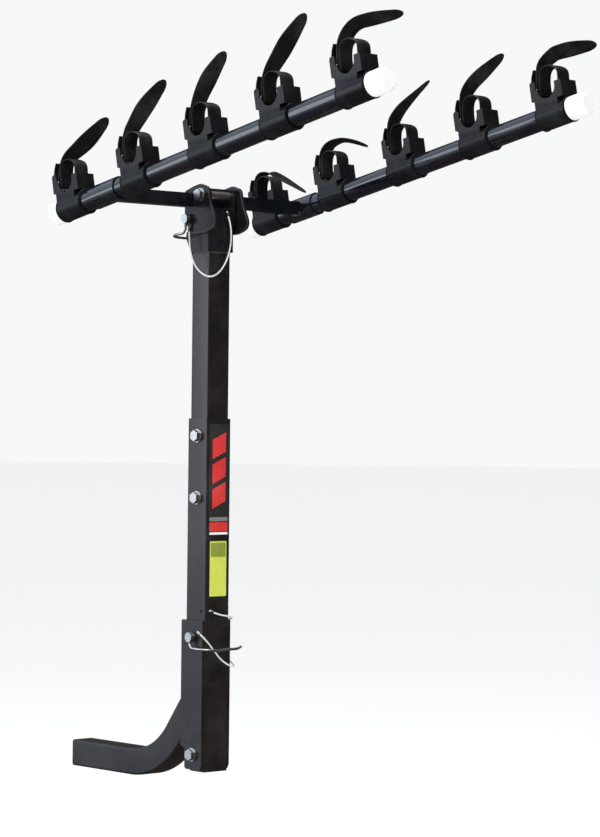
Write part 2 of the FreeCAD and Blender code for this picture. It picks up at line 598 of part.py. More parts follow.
# Each strap leaves its box, loops over the cup, doubles back at the catch and ends in a free tail (x, y,
# z).
LOOP = [(0, -46, 29), (0, -46, 55), (0, -48, 74), (0, -30, 86), (0, -10, 86), (0, -2, 68), (0, -2, 38),
        (0, 4, 38), (0, 4, 66)]
TAILS = {
    ("left", 1): [(7, -4, 95), (24, -22, 112), (40, -40, 130), (63, -64, 160)],
    ("left", 2): [(5, 0, 92), (14, -12, 112), (26, -28, 138), (53, -58, 178)],
    ("left", 3): [(6, -1, 94), (14, -15, 121), (25, -29, 146), (42, -48, 176)],
    ("left", 4): [(6, -2, 94), (19, -18, 120), (31, -33, 146), (52, -59, 184)],
    ("left", 5): [(4, 0, 94), (17, -15, 117), (36, -34, 122), (78, -71, 125)],
    ("right", 1): [(4, 0, 92), (16, -14, 99), (34, -26, 88), (63, -60, 50)],
    ("right", 2): [(4, 0, 93), (15, -12, 108), (38, -32, 112), (66, -53, 93)],
    ("right", 3): [(1, 0, 94), (7, -8, 110), (21, -22, 130), (54, -57, 166)],
    ("right", 4): [(1, 0, 94), (9, -10, 112), (23, -24, 128), (55, -57, 160)],
    ("right", 5): [(1, 0, 92), (11, -10, 106), (27, -24, 118), (76, -68, 120)],
}


def ribbon(points, width, thick):
    """A flat band that follows a path, its width along x where it starts."""
    path, _ = smooth_path(points)
    start = Vector(*points[0])
    half, deep = width / 2, thick / 2
    corners = [start + Vector(x, y, 0) for x, y in ((-half, -deep), (half, -deep), (half, deep),
                                                    (-half, deep))]
    section = Part.makePolygon(corners + corners[:1])
    pipe = Part.BRepOffsetAPI.MakePipeShell(path)
    pipe.setFrenetMode(False)
    pipe.add(section)
    pipe.build()
    pipe.makeSolid()
    return pipe.shape()


def build_strap(side, sign, number):
    points = LOOP + TAILS[side, number]
    band = solid(f"band_{side}_{number}", ribbon(points, size("strap_width"), size("strap_thick")))
    node(f"strap_{side}_{number}", on_arm(band, sign, cradle_along(number)))


def build_screws():
    screws = []
    for side, sign in SIDES:
        for number in CRADLES:
            screw = solid(f"screw_{side}_{number}",
                          screw_stack(size("screw_radius"), size("screw_shank"), size("screw_thick"), 6.0))
            screws.append(on_arm(screw, sign, cradle_along(number)))
    node("cradle_screws", group("screw_group", *screws))


def screw_stack(head_radius, shank_radius, head_thick, depth):
    """A screw, or the room for one, square to the cup's floor and a little behind its lowest line."""
    lean = math.radians(size("screw_lean"))
    inward = Vector(0, -math.sin(lean), math.cos(lean))
    seat = Vector(0, size("cup_back"), size("cup_rise")) - inward * (size("cup_radius") + 1.2)
    head = Part.makeCylinder(head_radius, head_thick, seat, inward)
    shank = Part.makeCylinder(shank_radius, depth + 1, seat - inward * depth, inward)
    return head.fuse(shank)


# ---------------------------------------------------------------- lock pins, their bails and their tethers
def pin_reach(flange):
    """How far out a pin's head stands, beside a flange whose outer face is at x = -flange."""
    return flange + size("pin_slack")


def build_pin(name, radius, flange, y, z):
    """A lock pin along +x: a head with an upright cross hole for the bail, and a long tip."""
    reach, thick = pin_reach(flange), size("pin_head_thick")
    head = rod(f"{name}_head", "pin_head_radius", "pin_head_thick", (f"-{reach + thick}", y, z), "x")
    shaft = rod(f"{name}_shaft", radius, f"{reach + flange + 1} + pin_tip", (f"-{reach + 1}", y, z), "x")
    hole = rod(f"{name}_cross_hole", "bail_wire / 2 + bore_gap", "40",
               (f"-{reach + thick / 2}", y, f"{z} - 20"), "z")
    node(name, cut(f"{name}_whole", join(f"{name}_body", head, shaft), hole))


def channel_flange():
    return size("lower_width") / 2 + size("channel_gap") + size("plate")


def ear_flange():
    return size("ear_inside") + size("ear_thick")


def build_pins():
    build_pin("lower_pin", "lower_pin_radius", channel_flange(), "-mast_setback",
              "tilt_rise + lower_pin_rise")
    build_pin("upper_pin", "upper_pin_radius", ear_flange(), "upper_pin_back - mast_setback",
              "tilt_rise + upper_pin_rise")


def bail(name, flange, axis_y, axis_z, outward, drop, leg_drop):
    """A wire bail: it hangs in the head's cross hole and runs round the rack at outward.

    Its far end stops in front of the pin's tip, so that the pin and its bail can slide out together.
    """
    left = -pin_reach(flange) - size("pin_head_thick") / 2
    right = flange + size("pin_tip") - 1
    way = math.copysign(1, outward)
    points = [(left, 0, size("pin_head_radius") - 2), (left, 0, -leg_drop),
              (left - 1, 0.55 * outward, -leg_drop - 1), (left + 8, outward, -drop),
              (left / 3, outward + way, -drop - 1.5), (right / 3, outward, -drop),
              (right - 10, outward, -drop), (right, outward - way, -drop + 4)]
    placed = [(x, axis_y + y, axis_z + z) for x, y, z in points]
    node(name, solid(f"{name}_wire", cable(name, placed, size("bail_wire") / 2)))


def build_bails():
    bail("lower_bail", channel_flange(), MAST, TILT + size("lower_pin_rise"), -size("bail_reach_lower"),
         size("bail_drop_lower"), size("bail_leg_lower"))
    bail("upper_bail", ear_flange(), MAST + size("upper_pin_back"), TILT + size("upper_pin_rise"),
         size("bail_reach_upper"), size("bail_drop_upper"), size("bail_leg_upper"))


# Points of the tethers' routes, from the mast's axis and the tilt bolt, by hand.
LOWER_TETHER = [(-22, -32, 268), (-6, -33, 262), (10, -33, 258), (27, -34, 256), (39, -27, 252),
                (42, -9, 248), (43, 10, 234), (43, 16, 213), (44, 9, 190), (45, -10, 172), (43, -32, 162),
                (24, -38, 164), (4, -35, 176), (-12, -35, 193), (-26, -35, 208), (-36, -30, 220),
                (-36.5, -15, 229)]
UPPER_TETHER = [(6, -36, 1007), (11, -38, 992), (15, -39, 970), (14, -39, 946), (8, -38, 922),
                (-3, -37, 902), (-18, -36, 888), (-33, -32, 884), (-41, -18, 892), (-44, -3, 908),
                (-45, 7, 930), (-44.5, 11, 954), (-44, 13, 978)]


def lifted(points):
    return [(x, y + MAST, z + TILT) for x, y, z in points]


def build_tethers():
    radius = size("tether_radius")
    node("lower_tether", solid("lower_cable", cable("lower_tether", lifted(LOWER_TETHER), radius)))
    node("upper_tether", solid("upper_cable", cable("upper_tether", lifted(UPPER_TETHER), radius)))


SIDES = (("left", -1), ("right", 1))
CRADLES = (1, 2, 3, 4, 5)

build_shank()
build_channel()
build_tilt_bolt()
build_mast()
build_splice()
build_head()
build_pivot()
build_bracket()
build_crossbar()
for side_name, side_sign in SIDES:
    build_arm(side_name, side_sign)
    for cradle_number in CRADLES:
        build_cradle(side_name, side_sign, cradle_number)
        build_catch(side_name, side_sign, cradle_number)
        build_strap(side_name, side_sign, cradle_number)
build_caps()
build_screws()
build_pins()
build_bails()
build_tethers()

doc.recompute()
failed = [thing.Name for thing in doc.Objects if {"Invalid", "Error"} & set(thing.State)]
if failed:
    raise RuntimeError(f"these did not build: {failed}")
for label, thing in NODES.items():
    if thing.Shape.isNull() or not thing.Shape.isValid() or not thing.Shape.Solids:
        raise RuntimeError(f"{label} has no valid solid")

os.makedirs("parts", exist_ok=True)
for label, thing in NODES.items():
    thing.Shape.exportStep(f"parts/{label}.step")
print(len(NODES), "nodes")
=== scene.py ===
import json
import math

import bmesh
import bpy
import numpy as np
from mathutils import Matrix, Vector

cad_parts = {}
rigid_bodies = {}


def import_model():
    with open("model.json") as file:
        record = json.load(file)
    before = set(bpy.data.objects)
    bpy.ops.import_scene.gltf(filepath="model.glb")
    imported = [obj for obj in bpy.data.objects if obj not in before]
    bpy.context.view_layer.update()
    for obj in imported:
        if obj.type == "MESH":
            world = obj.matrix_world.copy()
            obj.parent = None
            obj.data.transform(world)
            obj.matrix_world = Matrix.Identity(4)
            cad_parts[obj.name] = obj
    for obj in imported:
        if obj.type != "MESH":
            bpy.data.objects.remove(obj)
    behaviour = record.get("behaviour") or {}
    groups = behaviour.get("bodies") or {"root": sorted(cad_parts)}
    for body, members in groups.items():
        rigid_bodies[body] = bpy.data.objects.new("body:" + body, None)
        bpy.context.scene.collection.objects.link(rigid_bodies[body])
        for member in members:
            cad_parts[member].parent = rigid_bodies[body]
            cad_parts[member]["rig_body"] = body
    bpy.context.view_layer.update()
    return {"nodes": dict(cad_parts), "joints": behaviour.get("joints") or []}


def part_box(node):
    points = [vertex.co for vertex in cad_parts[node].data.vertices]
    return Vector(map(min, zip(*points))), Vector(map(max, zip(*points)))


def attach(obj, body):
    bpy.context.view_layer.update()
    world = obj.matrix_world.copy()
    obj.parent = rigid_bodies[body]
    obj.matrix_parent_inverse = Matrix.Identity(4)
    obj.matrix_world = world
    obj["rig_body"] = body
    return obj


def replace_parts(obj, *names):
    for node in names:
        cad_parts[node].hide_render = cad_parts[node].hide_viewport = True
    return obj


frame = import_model()
nodes = frame["nodes"]
joints = {joint["name"]: joint for joint in frame["joints"]}
scene = bpy.context.scene
print("frame loaded:", len(nodes), "nodes")

# camera, light and floor
view = {"place": (-3.368, -4.309, 0.657), "azimuth": -42.0, "roll": 0.62, "lens": 120.65, "film": 36.0}
floor = {"height": -0.42, "radius": 60.0, "sides": 96}
lamps = {
    "key": {"place": (-3.0, -1.6, 3.4), "size": 2.4, "watts": 70, "colour": (1.0, 0.98, 0.95)},
    "side": {"place": (-4.2, 2.6, 1.4), "size": 2.6, "watts": 36, "colour": (0.94, 0.97, 1.0)},
    "top": {"place": (0.2, -0.4, 3.8), "size": 1.6, "watts": 60, "colour": (0.80, 0.89, 1.0)},
}
# what shiny surfaces see: bright towards the side and overhead, dark and warm on the other side
sky = {"toward": (-0.60, 0.62, 0.50), "dark": (0.050, 0.036, 0.032), "middle": (0.085, 0.080, 0.085),
       "bright": (0.60, 0.70, 0.88), "backdrop": (0.93, 0.935, 0.94)}


def makeCamera():
    data = bpy.data.cameras.new("camera")
    data.sensor_fit = "VERTICAL"
    data.sensor_height = view["film"]
    data.lens = view["lens"]
    data.clip_end = 200
    camera = bpy.data.objects.new("camera", data)
    turn = Matrix.Rotation(math.radians(view["azimuth"]), 4, "Z") @ Matrix.Rotation(math.radians(90), 4, "X")
    turn = turn @ Matrix.Rotation(math.radians(view["roll"]), 4, "Z")
    camera.matrix_world = Matrix.Translation(view["place"]) @ turn
    scene.collection.objects.link(camera)
    scene.camera = camera


def makeLight():
    middle = Vector((0, -0.45, 0.75))
    for name, lamp in lamps.items():
        data = bpy.data.lights.new(name, "AREA")
        data.energy = lamp["watts"]
        data.size = lamp["size"]
        data.color = lamp["colour"]
        light = bpy.data.objects.new(name, data)
        light.location = lamp["place"]
        light.rotation_euler = (middle - light.location).to_track_quat("-Z", "Y").to_euler()
        scene.collection.objects.link(light)
    world = bpy.data.worlds.new("studio")
    world.use_nodes = True
    tree = world.node_tree
    tree.nodes.clear()
    out = tree.nodes.new("ShaderNodeOutputWorld")
    back = tree.nodes.new("ShaderNodeBackground")
    shine = tree.nodes.new("ShaderNodeBackground")
    choose = tree.nodes.new("ShaderNodeMixShader")
    ray = tree.nodes.new("ShaderNodeLightPath")
    ramp = tree.nodes.new("ShaderNodeValToRGB")
    toward = tree.nodes.new("ShaderNodeVectorMath")
    place = tree.nodes.new("ShaderNodeTexCoord")
    toward.operation = "DOT_PRODUCT"
    toward.inputs[1].default_value = sky["toward"]
    ramp.color_ramp.elements[0].position = 0.0
    ramp.color_ramp.elements[0].color = (*sky["dark"], 1)
    ramp.color_ramp.elements[1].position = 0.90
    ramp.color_ramp.elements[1].color = (*sky["bright"], 1)
    ramp.color_ramp.elements.new(0.45).color = (*sky["middle"], 1)
    back.inputs["Color"].default_value = (*sky["backdrop"], 1)
    tree.links.new(place.outputs["Generated"], toward.inputs[0])
    tree.links.new(toward.outputs["Value"], ramp.inputs["Fac"])
    tree.links.new(ramp.outputs["Color"], shine.inputs["Color"])
    tree.links.new(ray.outputs["Is Glossy Ray"], choose.inputs["Fac"])
    tree.links.new(back.outputs[0], choose.inputs[1])
    tree.links.new(shine.outputs[0], choose.inputs[2])
    tree.links.new(choose.outputs[0], out.inputs["Surface"])
    scene.world = world


def makeFloor():
    turn = np.linspace(0, 2 * math.pi, floor["sides"], endpoint=False)
    rim = np.stack([np.cos(turn), np.sin(turn), 0 * turn], -1) * floor["radius"]
    rim[:, 2] = floor["height"]
    mesh = bpy.data.meshes.new("floor")
    mesh.from_pydata(rim.tolist(), [], [list(range(len(rim)))])
    ground = bpy.data.objects.new("floor", mesh)
    ground.visible_glossy = False
    scene.collection.objects.link(ground)
    ground.data.materials.append(plain("paleFloor", (0.99, 0.99, 0.99), 1.0))


def plain(name, colour, roughness):
    material = bpy.data.materials.new(name)
    material.use_nodes = True
    shader = material.node_tree.nodes["Principled BSDF"]
    shader.inputs["Base Color"].default_value = (*colour, 1)
    shader.inputs["Roughness"].default_value = roughness
    return material


scene.view_settings.view_transform = "Standard"
makeCamera()
makeLight()
makeFloor()
print("camera, light and floor made")


# shader groups, each made once and used by many finishes
def shaderGroup(name, inputs, outputs):
    group = bpy.data.node_groups.new(name, "ShaderNodeTree")
    for label, kind, value in inputs:
        socket = group.interface.new_socket(label, in_out="INPUT", socket_type=kind)
        if value is not None:
            socket.default_value = value
    for label, kind in outputs:
        group.interface.new_socket(label, in_out="OUTPUT", socket_type=kind)
    return group, group.nodes.new("NodeGroupInput"), group.nodes.new("NodeGroupOutput")


def addNode(tree, kind, **values):
    item = tree.nodes.new(kind)
    for key, value in values.items():
        if hasattr(item, key):
            setattr(item, key, value)
        else:
            item.inputs[key.replace("_", " ")].default_value = value
    return item


def makeGrain():
    # fine noise over broad noise: a height for bump and a 0 to 1 mask for roughness
    group, given, made = shaderGroup(
        "moulded grain",
        [("Vector", "NodeSocketVector", None), ("Scale", "NodeSocketFloat", 400.0)],
        [("Height", "NodeSocketFloat"), ("Mask", "NodeSocketFloat")])
    fine = addNode(group, "ShaderNodeTexNoise", Detail=3.0, Roughness=0.6)
    broad = addNode(group, "ShaderNodeTexNoise", Scale=18.0, Detail=4.0, Roughness=0.65)
    spread = addNode(group, "ShaderNodeMapRange")
    spread.inputs["From Min"].default_value = 0.35
    spread.inputs["From Max"].default_value = 0.65
    group.links.new(given.outputs["Vector"], fine.inputs["Vector"])
    group.links.new(given.outputs["Scale"], fine.inputs["Scale"])
    group.links.new(given.outputs["Vector"], broad.inputs["Vector"])
    group.links.new(broad.outputs["Fac"], spread.inputs["Value"])
    group.links.new(fine.outputs["Fac"], made.inputs["Height"])
    group.links.new(spread.outputs["Result"], made.inputs["Mask"])
    return group


def makeDust():
    # dust settles in soft patches, broken up by fine specks
    group, given, made = shaderGroup(
        "settled dust",
        [("Vector", "NodeSocketVector", None), ("Amount", "NodeSocketFloat", 0.3)],
        [("Mask", "NodeSocketFloat")])
    patch = addNode(group, "ShaderNodeTexNoise", Scale=9.0, Detail=5.0, Roughness=0.7)
    speck = addNode(group, "ShaderNodeTexNoise", Scale=260.0, Detail=2.0, Roughness=0.5)
    body = addNode(group, "ShaderNodeMapRange")
    body.inputs["From Min"].default_value = 0.48
    body.inputs["From Max"].default_value = 0.78
    broken = addNode(group, "ShaderNodeMath", operation="MULTIPLY")
    scaled = addNode(group, "ShaderNodeMath", operation="MULTIPLY")
    group.links.new(given.outputs["Vector"], patch.inputs["Vector"])
    group.links.new(given.outputs["Vector"], speck.inputs["Vector"])
    group.links.new(patch.outputs["Fac"], body.inputs["Value"])
    group.links.new(body.outputs["Result"], broken.inputs[0])
    group.links.new(speck.outputs["Fac"], broken.inputs[1])
    group.links.new(broken.outputs[0], scaled.inputs[0])
    group.links.new(given.outputs["Amount"], scaled.inputs[1])
    group.links.new(scaled.outputs[0], made.inputs["Mask"])
    return group


def makeRibs():
    # even ribs along one axis, as a height
    group, given, made = shaderGroup(
        "even ribs",
        [("Vector", "NodeSocketVector", None), ("Pitch", "NodeSocketFloat", 250.0)],
        [("Height", "NodeSocketFloat")])
    wave = addNode(group, "ShaderNodeTexWave", bands_direction="DIAGONAL", wave_profile="SIN", Distortion=0.0)
    group.links.new(given.outputs["Vector"], wave.inputs["Vector"])
    group.links.new(given.outputs["Pitch"], wave.inputs["Scale"])
    group.links.new(wave.outputs["Fac"], made.inputs["Height"])
    return group


grainGroup, dustGroup, ribGroup = makeGrain(), makeDust(), makeRibs()


def finish(name, look):
    # the dust mask turns the colour towards its dust colour; the grain spreads the roughness and is the bump
    material = bpy.data.materials.new(name)
    material.use_nodes = True
    tree = material.node_tree
    shader = tree.nodes["Principled BSDF"]
    place = addNode(tree, "ShaderNodeTexCoord")
    source = place.outputs["UV" if look.get("alongPiece") else "Object"]
    grain = addNode(tree, "ShaderNodeGroup", node_tree=grainGroup)
    grain.inputs["Scale"].default_value = look["grainScale"]
    dust = addNode(tree, "ShaderNodeGroup", node_tree=dustGroup)
    dust.inputs["Amount"].default_value = look["dust"]
    for item in (grain, dust):
        tree.links.new(place.outputs["Object"], item.inputs["Vector"])
    tone = addNode(tree, "ShaderNodeMix", data_type="RGBA")
    tone.inputs["A"].default_value = (*look["colour"], 1)
    tone.inputs["B"].default_value = (*look["second"], 1)
    powder = addNode(tree, "ShaderNodeMix", data_type="RGBA")
    powder.inputs["B"].default_value = (*look["dustColour"], 1)
    rough = addNode(tree, "ShaderNodeMapRange")
    rough.inputs["To Min"].default_value = look["rough"][0]
    rough.inputs["To Max"].default_value = look["rough"][1]
    bump = addNode(tree, "ShaderNodeBump")
    bump.inputs["Strength"].default_value = look["bump"]
    bump.inputs["Distance"].default_value = look.get("depth", 0.0003)
    tree.links.new(grain.outputs["Mask"], tone.inputs["Factor"])
    tree.links.new(tone.outputs["Result"], powder.inputs["A"])
    tree.links.new(dust.outputs["Mask"], powder.inputs["Factor"])
    tree.links.new(powder.outputs["Result"], shader.inputs["Base Color"])
    tree.links.new(grain.outputs["Mask"], rough.inputs["Value"])
    tree.links.new(rough.outputs["Result"], shader.inputs["Roughness"])
    if look.get("ribs"):
        ribs = addNode(tree, "ShaderNodeGroup", node_tree=ribGroup)
        ribs.inputs["Pitch"].default_value = look["ribs"]
        total = addNode(tree, "ShaderNodeMath", operation="ADD")
        tree.links.new(source, ribs.inputs["Vector"])
        tree.links.new(ribs.outputs["Height"], total.inputs[0])
        tree.links.new(grain.outputs["Height"], total.inputs[1])
        tree.links.new(total.outputs[0], bump.inputs["Height"])
    else:
        tree.links.new(grain.outputs["Height"], bump.inputs["Height"])
    tree.links.new(bump.outputs["Normal"], shader.inputs["Normal"])
    shader.inputs["Metallic"].default_value = look.get("metallic", 0.0)
    shader.inputs["Specular IOR Level"].default_value = look.get("shine", 0.5)
    shader.inputs["Coat Weight"].default_value = look.get("coat", 0.0)
    shader.inputs["Coat Roughness"].default_value = look.get("coatRough", 0.05)
    shader.inputs["Subsurface Weight"].default_value = look.get("soft", 0.0)
    shader.inputs["Subsurface Scale"].default_value = 0.004
    return material


pale = (0.30, 0.29, 0.28)
looks = {
    "glossBlack": {"colour": (0.003, 0.004, 0.007), "second": (0.006, 0.006, 0.009), "dustColour": pale,
                   "dust": 0.05, "rough": (0.07, 0.14), "coat": 1.0, "coatRough": 0.04, "grainScale": 240.0,
                   "bump": 0.10, "depth": 0.0004},
    "mastBlack": {"colour": (0.009, 0.007, 0.007), "second": (0.015, 0.012, 0.011), "dustColour": pale,
                  "dust": 0.08, "rough": (0.26, 0.38), "coat": 0.25, "coatRough": 0.18, "grainScale": 420.0,
                  "bump": 0.16, "depth": 0.0004},
    "headBlack": {"colour": (0.006, 0.006, 0.008), "second": (0.010, 0.010, 0.013), "dustColour": pale,
                  "dust": 0.06, "rough": (0.16, 0.28), "shine": 0.3, "grainScale": 260.0, "bump": 0.12,
                  "depth": 0.0004},
    # the edge finish of the painted steel is lighter than its black: real edge wear plus a painted highlight
    # along the rounded edges
    "wornEdgeAndHighlight": {"colour": (0.05, 0.05, 0.055), "second": (0.10, 0.10, 0.105), "dustColour": pale,
                 "dust": 0.3, "rough": (0.22, 0.40), "coat": 0.3, "grainScale": 500.0, "bump": 0.10},
    "weldPaint": {"colour": (0.03, 0.03, 0.032), "second": (0.06, 0.058, 0.056), "dustColour": pale,
                  "dust": 0.4, "rough": (0.25, 0.5), "coat": 0.3, "grainScale": 700.0, "bump": 0.4},
    "zinc": {"colour": (0.62, 0.62, 0.60), "second": (0.76, 0.75, 0.71), "dustColour": (0.35, 0.33, 0.28),
             "dust": 0.3, "rough": (0.22, 0.40), "metallic": 1.0, "grainScale": 900.0, "bump": 0.15},
    "cradleBlack": {"colour": (0.005, 0.005, 0.006), "second": (0.009, 0.009, 0.011), "dustColour": pale,
                    "dust": 0.05, "rough": (0.22, 0.34), "shine": 0.22, "grainScale": 900.0, "bump": 0.16},
    # the cradle's edge finish, far lighter than its black: a painted highlight along its rounded edges
    "cradleEdgeHighlight": {"colour": (0.10, 0.10, 0.11), "second": (0.17, 0.17, 0.18), "dustColour": pale,
                   "dust": 0.2, "rough": (0.22, 0.34), "coat": 0.3, "grainScale": 900.0, "bump": 0.15},
    "strapRubber": {"colour": (0.006, 0.006, 0.006), "second": (0.012, 0.012, 0.012), "dustColour": pale,
                    "shine": 0.25, "dust": 0.14, "rough": (0.42, 0.58), "grainScale": 800.0, "bump": 0.28,
                    "ribs": 160.0, "alongPiece": True, "depth": 0.0002},
    "capWhite": {"colour": (0.82, 0.82, 0.83), "second": (0.88, 0.88, 0.89), "dustColour": (0.55, 0.53, 0.50),
                 "dust": 0.12, "rough": (0.28, 0.42), "soft": 0.15, "grainScale": 500.0, "bump": 0.10},
    "cableWhite": {"colour": (0.78, 0.78, 0.74), "second": (0.66, 0.66, 0.62),
                   "dustColour": (0.4, 0.38, 0.34), "dust": 0.2, "rough": (0.25, 0.4), "coat": 0.4,
                   "grainScale": 900.0, "bump": 0.25,
                   "ribs": 420.0, "depth": 0.0002},
    "labelBlack": {"colour": (0.02, 0.018, 0.018), "second": (0.03, 0.027, 0.027), "dustColour": pale,
                   "dust": 0.10, "rough": (0.25, 0.35), "coat": 0.4, "grainScale": 900.0, "bump": 0.05},
    "labelRed": {"colour": (0.55, 0.02, 0.02), "second": (0.65, 0.035, 0.03), "dustColour": pale,
                 "dust": 0.10, "rough": (0.25, 0.35), "coat": 0.4, "grainScale": 900.0, "bump": 0.05},
    "labelGrey": {"colour": (0.16, 0.16, 0.16), "second": (0.20, 0.20, 0.20), "dustColour": pale,
                  "dust": 0.10, "rough": (0.25, 0.35), "coat": 0.4, "grainScale": 900.0, "bump": 0.05},
    "labelWhite": {"colour": (0.75, 0.75, 0.74), "second": (0.80, 0.80, 0.79), "dustColour": pale,
                   "dust": 0.10, "rough": (0.25, 0.35), "coat": 0.4, "grainScale": 900.0, "bump": 0.05},
    "labelLime": {"colour": (0.52, 0.58, 0.05), "second": (0.60, 0.66, 0.09), "dustColour": pale,
                  "dust": 0.12, "rough": (0.3, 0.4), "coat": 0.3, "grainScale": 900.0, "bump": 0.05},
    "labelOlive": {"colour": (0.22, 0.26, 0.03), "second": (0.27, 0.31, 0.04), "dustColour": pale,
                   "dust": 0.12, "rough": (0.3, 0.4), "coat": 0.3, "grainScale": 900.0, "bump": 0.05},
}
finishes = {name: finish(name, look) for name, look in looks.items()}
print("finishes made:", len(finishes))


# shapes worked out as arrays
def unit(vectors):
    # each vector divided by its length
    return vectors / np.linalg.norm(vectors, axis=-1, keepdims=True)


def splinePath(points, perSpan=24):
    # quadratic spline: it starts and ends on the end points and is tangent to every run at its middle
    points = np.asarray(points, float)
    middles = (points[:-1] + points[1:]) / 2
    middles[0], middles[-1] = points[0], points[-1]
    t = np.linspace(0, 1, perSpan, endpoint=False)[None, :, None]
    spans = (1 - t) ** 2 * middles[:-1, None] + 2 * t * (1 - t) * points[1:-1, None]
    spans = spans + t ** 2 * middles[1:, None]
    return np.concatenate([spans.reshape(-1, 3), points[-1:]])


def evenPath(points, count):
    # the spline again, with equal steps of length
    path = splinePath(points)
    run = np.concatenate([[0], np.cumsum(np.linalg.norm(np.diff(path, axis=0), axis=1))])
    steps = np.linspace(0, run[-1], count)
    return np.stack([np.interp(steps, run, path[:, axis]) for axis in range(3)], -1), steps


def gridPart(points, capped=True):
    # quads over a rows by columns grid of points, closed round its columns, with an end face at each end
    rows, columns = points.shape[:2]
    i, j = np.meshgrid(np.arange(rows - 1), np.arange(columns), indexing="ij")
    nextJ = (j + 1) % columns
    here, onward = i * columns, (i + 1) * columns
    quads = np.stack([here + j, here + nextJ, onward + nextJ, onward + j], -1)
    run = np.concatenate([[0], np.cumsum(np.linalg.norm(np.diff(points.mean(1), axis=0), axis=1))])
    step = 1.0 / columns
    uv = np.stack([np.stack([run[i], j * step], -1), np.stack([run[i], (j + 1) * step], -1),
                   np.stack([run[i + 1], (j + 1) * step], -1), np.stack([run[i + 1], j * step], -1)], 2)
    faces = quads.reshape(-1, 4).tolist()
    corners = uv.reshape(-1, 2)
    if capped:
        faces += [list(range(columns))[::-1], list(range((rows - 1) * columns, rows * columns))]
        corners = np.concatenate([corners, np.zeros((2 * columns, 2))])
    return points.reshape(-1, 3), faces, corners


def makePiece(name, parts, material, body, sharp=38.0):
    # joins the parts in one mesh, welds what meets, and gives it its finish and its body
    vertices, faces, corners, start = [], [], [], 0
    for points, quads, uv in parts:
        vertices.append(points)
        faces += [[start + index for index in face] for face in quads]
        corners.append(uv)
        start += len(points)
    mesh = bpy.data.meshes.new(name)
    mesh.from_pydata(np.concatenate(vertices).tolist(), [], faces)
    layer = mesh.uv_layers.new(name="along")
    layer.data.foreach_set("uv", np.concatenate(corners).ravel())
    shell = bmesh.new()
    shell.from_mesh(mesh)
    bmesh.ops.remove_doubles(shell, verts=shell.verts, dist=1e-6)
    bmesh.ops.recalc_face_normals(shell, faces=shell.faces)
    shell.to_mesh(mesh)
    shell.free()
    mesh.shade_smooth()
    mesh.set_sharp_from_angle(angle=math.radians(sharp))
    piece = bpy.data.objects.new(name, mesh)
    scene.collection.objects.link(piece)
    mesh.materials.append(finishes[material])
    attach(piece, body)
    return piece


band = {"sides": 28, "widePower": 0.35, "thickPower": 0.55}


def bandPart(points, widths, thicks, sideways, count):
    # a band: a rounded-rectangle section (a superellipse) carried along a path, wide along sideways
    path, steps = evenPath(points, count)
    share = steps / steps[-1]
    ahead = unit(np.gradient(path, axis=0))
    wide = sideways(share)
    wide = unit(wide - (wide * ahead).sum(-1, keepdims=True) * ahead)
    deep = np.cross(ahead, wide)
    turn = np.linspace(0, 2 * math.pi, band["sides"], endpoint=False)
    flatX = np.sign(np.cos(turn)) * np.abs(np.cos(turn)) ** band["widePower"]
    flatY = np.sign(np.sin(turn)) * np.abs(np.sin(turn)) ** band["thickPower"]
    across = (widths(share) / 2)[:, None, None] * flatX[None, :, None] * wide[:, None]
    thick = (thicks(share) / 2)[:, None, None] * flatY[None, :, None] * deep[:, None]
    return gridPart(path[:, None] + across + thick)


def tubePart(points, radii, count, sides=16, closed=False):
    # a round section carried along a path, wide by a radius for each share of the length
    path, steps = evenPath(points, count)
    if closed:
        path = path[:-1]
        steps = steps[:-1]
    ahead = unit(np.roll(path, -1, 0) - np.roll(path, 1, 0)) if closed else unit(np.gradient(path, axis=0))
    upright = np.where(np.abs(ahead[:, 2:]) > 0.9, np.array([[1.0, 0, 0]]), np.array([[0, 0, 1.0]]))
    side = unit(np.cross(ahead, upright))
    over = np.cross(side, ahead)
    turn = np.linspace(0, 2 * math.pi, sides, endpoint=False)
    ring = np.cos(turn)[None, :, None] * side[:, None] + np.sin(turn)[None, :, None] * over[:, None]
    return path[:, None] + radii(steps)[:, None, None] * ring


def turnedPart(profile, base, axis, sides=40):
    # a (height, radius) profile turned about an axis through base
    profile = np.asarray(profile, float)
    axis = np.asarray(axis, float) / np.linalg.norm(axis)
    helper = np.array([1.0, 0, 0]) if abs(axis[0]) < 0.9 else np.array([0, 1.0, 0])
    side = unit(np.cross(axis, helper))
    over = np.cross(axis, side)
    turn = np.linspace(0, 2 * math.pi, sides, endpoint=False)
    ring = np.cos(turn)[:, None] * side + np.sin(turn)[:, None] * over
    points = np.asarray(base) + profile[:, 0, None, None] * axis + profile[:, 1, None, None] * ring[None]
    return gridPart(points, capped=False)


def plateRing(low, high, corner, depth, steps=8):
    # a rounded rectangle in x and z, from low to high, at y = depth
    turn = np.linspace(0, math.pi / 2, steps)
    centres = [(high[0] - corner, high[1] - corner), (low[0] + corner, high[1] - corner),
               (low[0] + corner, low[1] + corner), (high[0] - corner, low[1] + corner)]
    arcs = [np.stack([x + corner * np.cos(turn + quarter * math.pi / 2), 0 * turn + depth,
                      z + corner * np.sin(turn + quarter * math.pi / 2)], -1)
            for quarter, (x, z) in enumerate(centres)]
    return np.concatenate(arcs)
